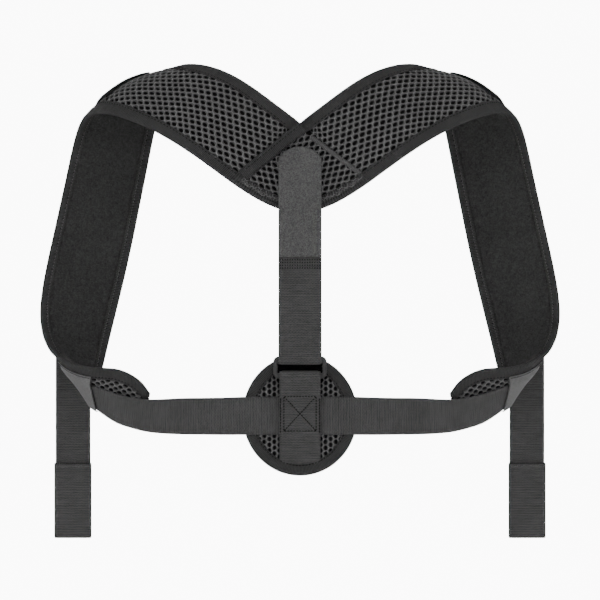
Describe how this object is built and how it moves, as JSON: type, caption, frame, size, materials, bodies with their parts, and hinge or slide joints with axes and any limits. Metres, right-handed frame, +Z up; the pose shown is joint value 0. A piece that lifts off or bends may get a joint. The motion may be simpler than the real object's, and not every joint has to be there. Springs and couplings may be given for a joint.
{
  "type": "posture corrector back brace",
  "caption": "Padded shoulder straps joined by a yoke, with an oval spine pad hung on an adjustable centre strap, side webbings and hook-and-loop tails.",
  "frame": {"origin": "centre of the yoke's flat body-side face, between the shoulder blades", "axes": "+Z up the spine, +Y from the brace into the wearer's back (the wearer faces +Y), +X to the wearer's right hand side"},
  "size_m": [0.4568, 0.1412, 0.4133],
  "materials": {
    "air_mesh": "matte",
    "foam": "matte",
    "lining_plush": "matte",
    "binding_tape": "matte",
    "thread": "matte",
    "buckle_plastic": "matte",
    "loop_tape": "matte",
    "hook_tape": "matte",
    "webbing": "matte"
  },
  "bodies": {
    "harness": {"left_pad_cover": "air_mesh", "right_pad_cover": "air_mesh", "left_pad_core": "foam", "right_pad_core": "foam", "left_pad_lining": "lining_plush", "right_pad_lining": "lining_plush", "yoke_cover": "air_mesh", "yoke_core": "foam", "yoke_lining": "lining_plush", "left_armhole_binding": "binding_tape", "right_armhole_binding": "binding_tape", "left_neck_binding": "binding_tape", "right_neck_binding": "binding_tape", "yoke_binding": "binding_tape", "left_seam_band": "binding_tape", "right_seam_band": "binding_tape", "left_landing_strip": "loop_tape", "right_landing_strip": "loop_tape", "left_webbing": "webbing", "right_webbing": "webbing", "left_keeper": "webbing", "right_keeper": "webbing", "strap_back": "webbing"},
    "spine_pad": {"disc_lining": "lining_plush", "disc_core": "foam", "disc_cover": "air_mesh", "disc_binding": "binding_tape", "loop_webbing": "webbing", "box_stitches": "thread"},
    "buckle": {"strap_turn": "webbing", "buckle_frame": "buckle_plastic"},
    "tail_carrier": {"strap_return": "webbing", "strap_joint": "webbing", "joint_stitches": "thread"},
    "tail_tab": {"tail_tab": "webbing", "tail_hook_patch": "hook_tape", "tail_loop_face": "loop_tape"},
    "left_tail": {"left_tail_strap": "webbing"},
    "right_tail": {"right_tail_strap": "webbing"},
    "left_hook_tab": {"left_hook_tab": "hook_tape", "left_hook_pad": "hook_tape", "left_tab_stitches": "thread"},
    "right_hook_tab": {"right_hook_tab": "hook_tape", "right_hook_pad": "hook_tape", "right_tab_stitches": "thread"}
  },
  "joints": [
    {"name": "back_adjust", "type": "slide", "parent": "harness", "child": "spine_pad", "axis": [0, 0, 1], "range_m": [-0.03, 0.01], "deforming": ["left_webbing", "right_webbing", "strap_back"]},
    {"name": "buckle_tilt", "type": "hinge", "parent": "spine_pad", "child": "buckle", "pos_m": [0, -0.01135, -0.1715], "axis": [1, 0, 0], "range_deg": [0, 20]},
    {"name": "tail_follow", "type": "slide", "parent": "spine_pad", "child": "tail_carrier", "axis": [0, 0, 1], "range_m": [-0.03, 0.01], "deforming": ["strap_return"]},
    {"name": "tab_peel", "type": "hinge", "parent": "tail_carrier", "child": "tail_tab", "pos_m": [0, -0.0121, -0.0736], "axis": [1, 0, 0], "range_deg": [0, 150]},
    {"name": "left_tail_swing", "type": "hinge", "parent": "harness", "child": "left_tail", "pos_m": [-0.2002, 0.1241, -0.143], "axis": [1, 0, 0], "range_deg": [-8, 165]},
    {"name": "left_tab_fold", "type": "hinge", "parent": "left_tail", "child": "left_hook_tab", "pos_m": [-0.2002, 0.1234, -0.2519], "axis": [-1, 0, 0], "range_deg": [0, 110]},
    {"name": "right_tail_swing", "type": "hinge", "parent": "harness", "child": "right_tail", "pos_m": [0.2002, 0.1241, -0.143], "axis": [1, 0, 0], "range_deg": [-8, 165]},
    {"name": "right_tab_fold", "type": "hinge", "parent": "right_tail", "child": "right_hook_tab", "pos_m": [0.2002, 0.1234, -0.2519], "axis": [-1, 0, 0], "range_deg": [0, 110]}
  ],
  "couplings": [
    {"joint": "tail_follow", "follows": "back_adjust", "ratio": 1}
  ]
}
